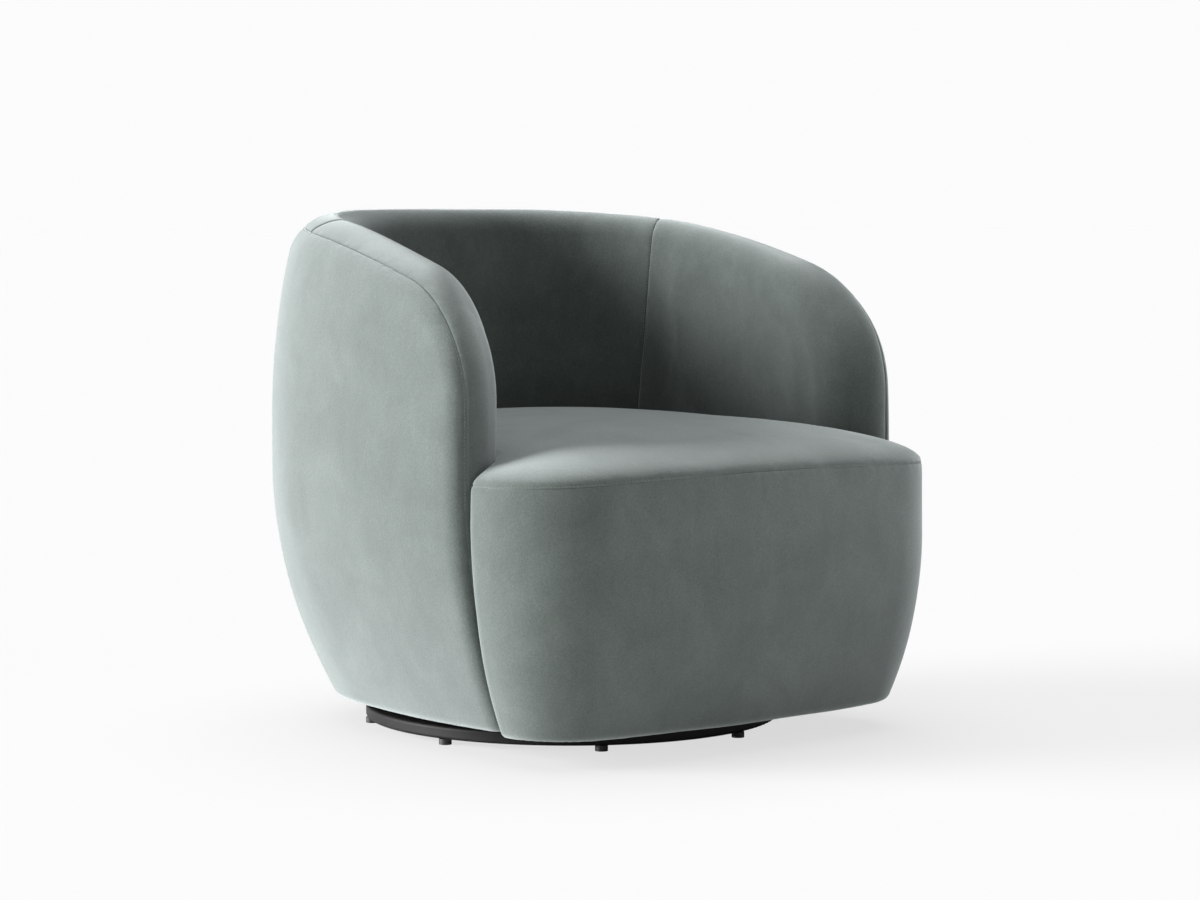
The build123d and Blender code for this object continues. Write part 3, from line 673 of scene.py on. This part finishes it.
def sew(points, normal, tris, value):
    """Note where stitches lie: evenly along the row of points next to a seam."""
    for run in runs_along(tris, np.abs(value - SEAM_ROWS[1]) < ON_ROW):
        q, up = points[run], normal[run]
        reach = np.concatenate([[0], np.cumsum(np.linalg.norm(np.diff(q, axis=0), axis=1))])
        if reach[-1] < SHORTEST_ROW:
            continue
        at = np.arange(STITCH_PITCH / 2, reach[-1], STITCH_PITCH)
        here, ahead = at_lengths(reach, q, at - 1), at_lengths(reach, q, at + 1)
        out = at_lengths(reach, up, at)
        stitches.append(np.concatenate([(here + ahead) / 2, ahead - here, out], axis=1))


def upholster(name, surface, shape, lines, thickness, fill, *stands_for, sewn=None, soft=True):
    """A closed velvet piece: the trimmed surface, pressed out between its seams, and a back face."""
    p, tris = trim(shape, *surface, lines)
    normal = slopes(shape, p)
    normal /= np.maximum(np.linalg.norm(normal, axis=1), 0.1)[:, None]
    seams = [line for line, rows in lines if len(rows) > 1]
    depth = sum(groove(shape, line, p) for line in seams) - UNEVEN * ripple(p, UNEVEN_LENGTH, len(name))
    edge = border(tris, len(p))
    held = np.zeros(len(p), dtype=bool)
    held[edge.ravel()] = True
    for line in seams:
        held |= np.abs(line(*p.T)) < HELD_WIDTH
    cover = p - depth[:, None] * normal
    if soft:
        cover = cover + press_out(cover, tris, held)
    if sewn is not None:
        sew(cover, normal, tris, sewn(*p.T))
    sides = np.stack([edge[:, 1], edge[:, 0], edge[:, 0] + len(p)], axis=1)
    closing = np.stack([edge[:, 1], edge[:, 0] + len(p), edge[:, 1] + len(p)], axis=1)
    faces = np.concatenate([tris, tris[:, ::-1] + len(p), sides, closing])
    piece = make_mesh(name, np.concatenate([cover, p - thickness * normal]), faces)
    piece.data.materials.append(finishes["velvet"])
    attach(piece, "chair")
    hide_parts(*stands_for)


APART = 0.15  # a seam's sides stay this far from its line
STEP, OUTSIDE_STEP = 6.0, 6.2  # grid steps
MARGIN, BELOW_HEM = 14, 28  # room round the shapes in the grid, and its lowest level
WIDE, DEEP, HIGH = HALF_WIDTH + MARGIN, HALF_DEPTH + MARGIN, HEIGHT + 12
SEAT_LOW, SEAT_HIGH = SEAM - 40, SEAM + 66
APRON_BACK, APRON_HIGH = ARM_FRONT + 120, SEAM + 20
THIN, THICK, TIGHT = 11.0, 24.0, 12.0  # from the cover to the back face: seat and apron, pads, outside

rim_seam_out = (lambda x, y, z: wall(x, y, z) + COVER, SEAM_ROWS)
rim_seam_in = (lambda x, y, z: -wall(x, y, z) - COVER - APART, SEAM_ROWS)
pad_bottom = (pad_part, (0,))
turned_under = (lambda x, y, z: block_side(x, y, z) + APRON_TURN_IN, (0,))
seat_seam = (lambda x, y, z: z - front_seam(x) - APART, SEAM_ROWS)
apron_seam = (lambda x, y, z: front_seam(x) - z - APART, SEAM_ROWS)
back_seams = (lambda x, y, z: upright_seam(x, y, z) - APART, SEAM_ROWS)
arm_seams = (lambda x, y, z: -upright_seam(x, y, z) - APART, SEAM_ROWS)


def rim_sewn(x, y, z):
    """The rim seam above the deck, where its stitches are seen."""
    return np.where(z > DECK, wall(x, y, z) + COVER, 99)


body_low, body_high = (-WIDE, ARM_FRONT - MARGIN, BELOW_HEM), (WIDE, DEEP, HIGH)
outside = skin(outside_shape, body_low, body_high, OUTSIDE_STEP)
upholster(
    "outside_velvet",
    outside,
    outside_shape,
    [rim_seam_out],
    TIGHT,
    0.3,
    "outside_cover",
    sewn=rim_sewn,
    soft=False,
)
inside = skin(barrel, body_low, body_high, STEP)
pad = [rim_seam_in, pad_bottom]
back_lines = pad + [back_seams]
upholster(
    "inside_back_velvet", inside, barrel, back_lines, THICK, 0.6, "inside_back_pad", sewn=back_seams[0]
)
for word, side in (("left", -1), ("right", 1)):
    half = (lambda x, y, z: side * x, (0,))
    arm_lines = [half] + pad + [arm_seams]
    upholster(word + "_arm_velvet", inside, barrel, arm_lines, THICK, 0.6, word + "_arm_pad")
seat = skin(seat_shape, (-WIDE, -DEEP, SEAT_LOW), (WIDE, DEEP, SEAT_HIGH), STEP)
upholster("seat_velvet", seat, seat_shape, [seat_seam], THIN, 0.7, "seat_cover", sewn=seat_seam[0])
apron = skin(apron_shape, (-WIDE, -DEEP, BELOW_HEM), (WIDE, APRON_BACK, APRON_HIGH), STEP)
upholster("apron_velvet", apron, apron_shape, [apron_seam, turned_under], THIN, 0.4, "apron_pad")


# Stitches along the seams


def stitching(thread):
    """Node group that lays one thread on each point, turned along the seam."""
    tree = bpy.data.node_groups.new("stitching", "GeometryNodeTree")
    tree.interface.new_socket("Points", in_out="INPUT", socket_type="NodeSocketGeometry")
    for word, kind in (("Length", "Float"), ("Thickness", "Float"), ("Seed", "Int")):
        tree.interface.new_socket(word, in_out="INPUT", socket_type="NodeSocket" + kind)
    tree.interface.new_socket("Stitches", in_out="OUTPUT", socket_type="NodeSocketGeometry")
    given = node(tree, "NodeGroupInput").outputs
    along, out = (
        node(tree, "GeometryNodeInputNamedAttribute", {"Name": word}, data_type="FLOAT_VECTOR").outputs[0]
        for word in ("along", "out")
    )
    first = node(tree, "FunctionNodeAlignRotationToVector", {"Vector": along}, axis="X").outputs[0]
    upright = {"Rotation": first, "Vector": out}
    turned = node(tree, "FunctionNodeAlignRotationToVector", upright, axis="Z", pivot_axis="X").outputs[0]
    span = {2: 0.85, 3: 1.1, "Seed": given["Seed"]}
    vary = node(tree, "FunctionNodeRandomValue", span, data_type="FLOAT").outputs[1]
    length = node(tree, "ShaderNodeMath", {0: given["Length"], 1: vary}, operation="MULTIPLY").outputs[0]
    sizes = {"X": length, "Y": given["Thickness"], "Z": given["Thickness"]}
    size = node(tree, "ShaderNodeCombineXYZ", sizes).outputs[0]
    bead = node(tree, "GeometryNodeMeshUVSphere", {"Segments": 8, "Rings": 6, "Radius": 0.5}).outputs["Mesh"]
    laying = {"Points": given["Points"], "Instance": bead, "Rotation": turned, "Scale": size}
    laid = node(tree, "GeometryNodeInstanceOnPoints", laying).outputs[0]
    real = node(tree, "GeometryNodeRealizeInstances", {"Geometry": laid}).outputs[0]
    dressed = node(tree, "GeometryNodeSetMaterial", {"Geometry": real, "Material": thread}).outputs[0]
    node(tree, "NodeGroupOutput", {"Stitches": dressed})
    return tree


marks = np.concatenate(stitches)
cloud = bpy.data.meshes.new("stitch_points")
cloud.vertices.add(len(marks))
cloud.vertices.foreach_set("co", (marks[:, :3] / 1000).ravel())
for word, start in (("along", 3), ("out", 6)):
    layer = cloud.attributes.new(word, "FLOAT_VECTOR", "POINT")
    layer.data.foreach_set("vector", np.ascontiguousarray(marks[:, start : start + 3]).ravel())
maker = bpy.data.objects.new("stitch_maker", cloud)
bpy.context.scene.collection.objects.link(maker)
thread = worked(
    "thread", (0.1, 0.12, 0.105), (0.2, 0.225, 0.205), 1800, rough=(0.6, 0.8), relief=0.0001, shine=0.2
)
laying = maker.modifiers.new("stitching", "NODES")
laying.node_group = stitching(thread)
chosen = {"Length": 0.0034, "Thickness": 0.0007, "Seed": 7}
for item in laying.node_group.interface.items_tree:
    if item.item_type == "SOCKET" and item.name in chosen:
        laying[item.identifier] = chosen[item.name]
bpy.context.view_layer.update()
sewn_mesh = bpy.data.meshes.new_from_object(maker.evaluated_get(bpy.context.evaluated_depsgraph_get()))
bpy.data.objects.remove(maker)
seam_stitches = bpy.data.objects.new("seam_stitches", sewn_mesh)
bpy.context.scene.collection.objects.link(seam_stitches)
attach(seam_stitches, "chair")


# Floor, light and camera


def by_ray(tree, others, seen):
    """One shader for what the camera sees and another for light that bounces."""
    ray = node(tree, "ShaderNodeLightPath").outputs["Is Camera Ray"]
    return node(tree, "ShaderNodeMixShader", {0: ray, 1: others, 2: seen}).outputs[0]


bpy.ops.mesh.primitive_plane_add(size=120)
floor = bpy.context.object
floor.name = "floor"
floor_look, tree, shader = new_material("floor_look")
shader.inputs["Base Color"].default_value = (0.9, 0.9, 0.9, 1)
shader.inputs["Roughness"].default_value = 0.9
shader.inputs["Specular IOR Level"].default_value = 0.0
shaded = node(tree, "ShaderNodeBsdfDiffuse", {"Color": (0.16, 0.16, 0.16, 1)}).outputs[0]
pale = node(tree, "ShaderNodeEmission", {"Color": (1, 1, 1, 1), "Strength": 0.682}).outputs[0]
seen = node(tree, "ShaderNodeAddShader", {0: shaded, 1: pale}).outputs[0]
tree.links.new(by_ray(tree, shader.outputs[0], seen), tree.nodes["Material Output"].inputs["Surface"])
floor.data.materials.append(floor_look)


def soft_light(name, towards, strength, spread_angle):
    """A sun seen from the given side, wide enough for soft shadows."""
    data = bpy.data.lights.new(name, "SUN")
    data.energy = strength
    data.angle = math.radians(spread_angle)
    lamp = bpy.data.objects.new(name, data)
    lamp.rotation_euler = Vector(towards).to_track_quat("Z", "Y").to_euler()
    bpy.context.scene.collection.objects.link(lamp)


soft_light("key", (-0.83, 0.55, 0.23), 9.0, 36)
soft_light("top", (0.1, 0.2, 1.0), 2.9, 60)
soft_light("fill", (0.25, -0.9, 0.2), 0.5, 60)

world = bpy.data.worlds.new("studio")
world.use_nodes = True
tree = world.node_tree
tree.nodes.clear()
light = node(tree, "ShaderNodeBackground", {"Color": (1, 1, 1, 1), "Strength": 0.21}).outputs[0]
seen = node(tree, "ShaderNodeBackground", {"Color": (0.97, 0.97, 0.97, 1), "Strength": 1.0}).outputs[0]
node(tree, "ShaderNodeOutputWorld", {"Surface": by_ray(tree, light, seen)})
bpy.context.scene.world = world
bpy.context.scene.view_settings.view_transform = "Standard"

SENSOR, FOCAL_PIXELS, PICTURE_WIDTH = 36.0, 3294.46, 1200
turn, tilt, reach = math.radians(-39.363), math.radians(4.365), 4.81915
aim = Vector((0.0383, -0.01746, 0.39326))
back = Vector((math.sin(turn) * math.cos(tilt), -math.cos(turn) * math.cos(tilt), math.sin(tilt)))
lens = bpy.data.cameras.new("camera")
lens.sensor_width = SENSOR
lens.lens = SENSOR * FOCAL_PIXELS / PICTURE_WIDTH
camera = bpy.data.objects.new("camera", lens)
camera.location = aim + back * reach
camera.rotation_euler = back.to_track_quat("Z", "Y").to_euler()
bpy.context.scene.collection.objects.link(camera)
bpy.context.scene.camera = camera
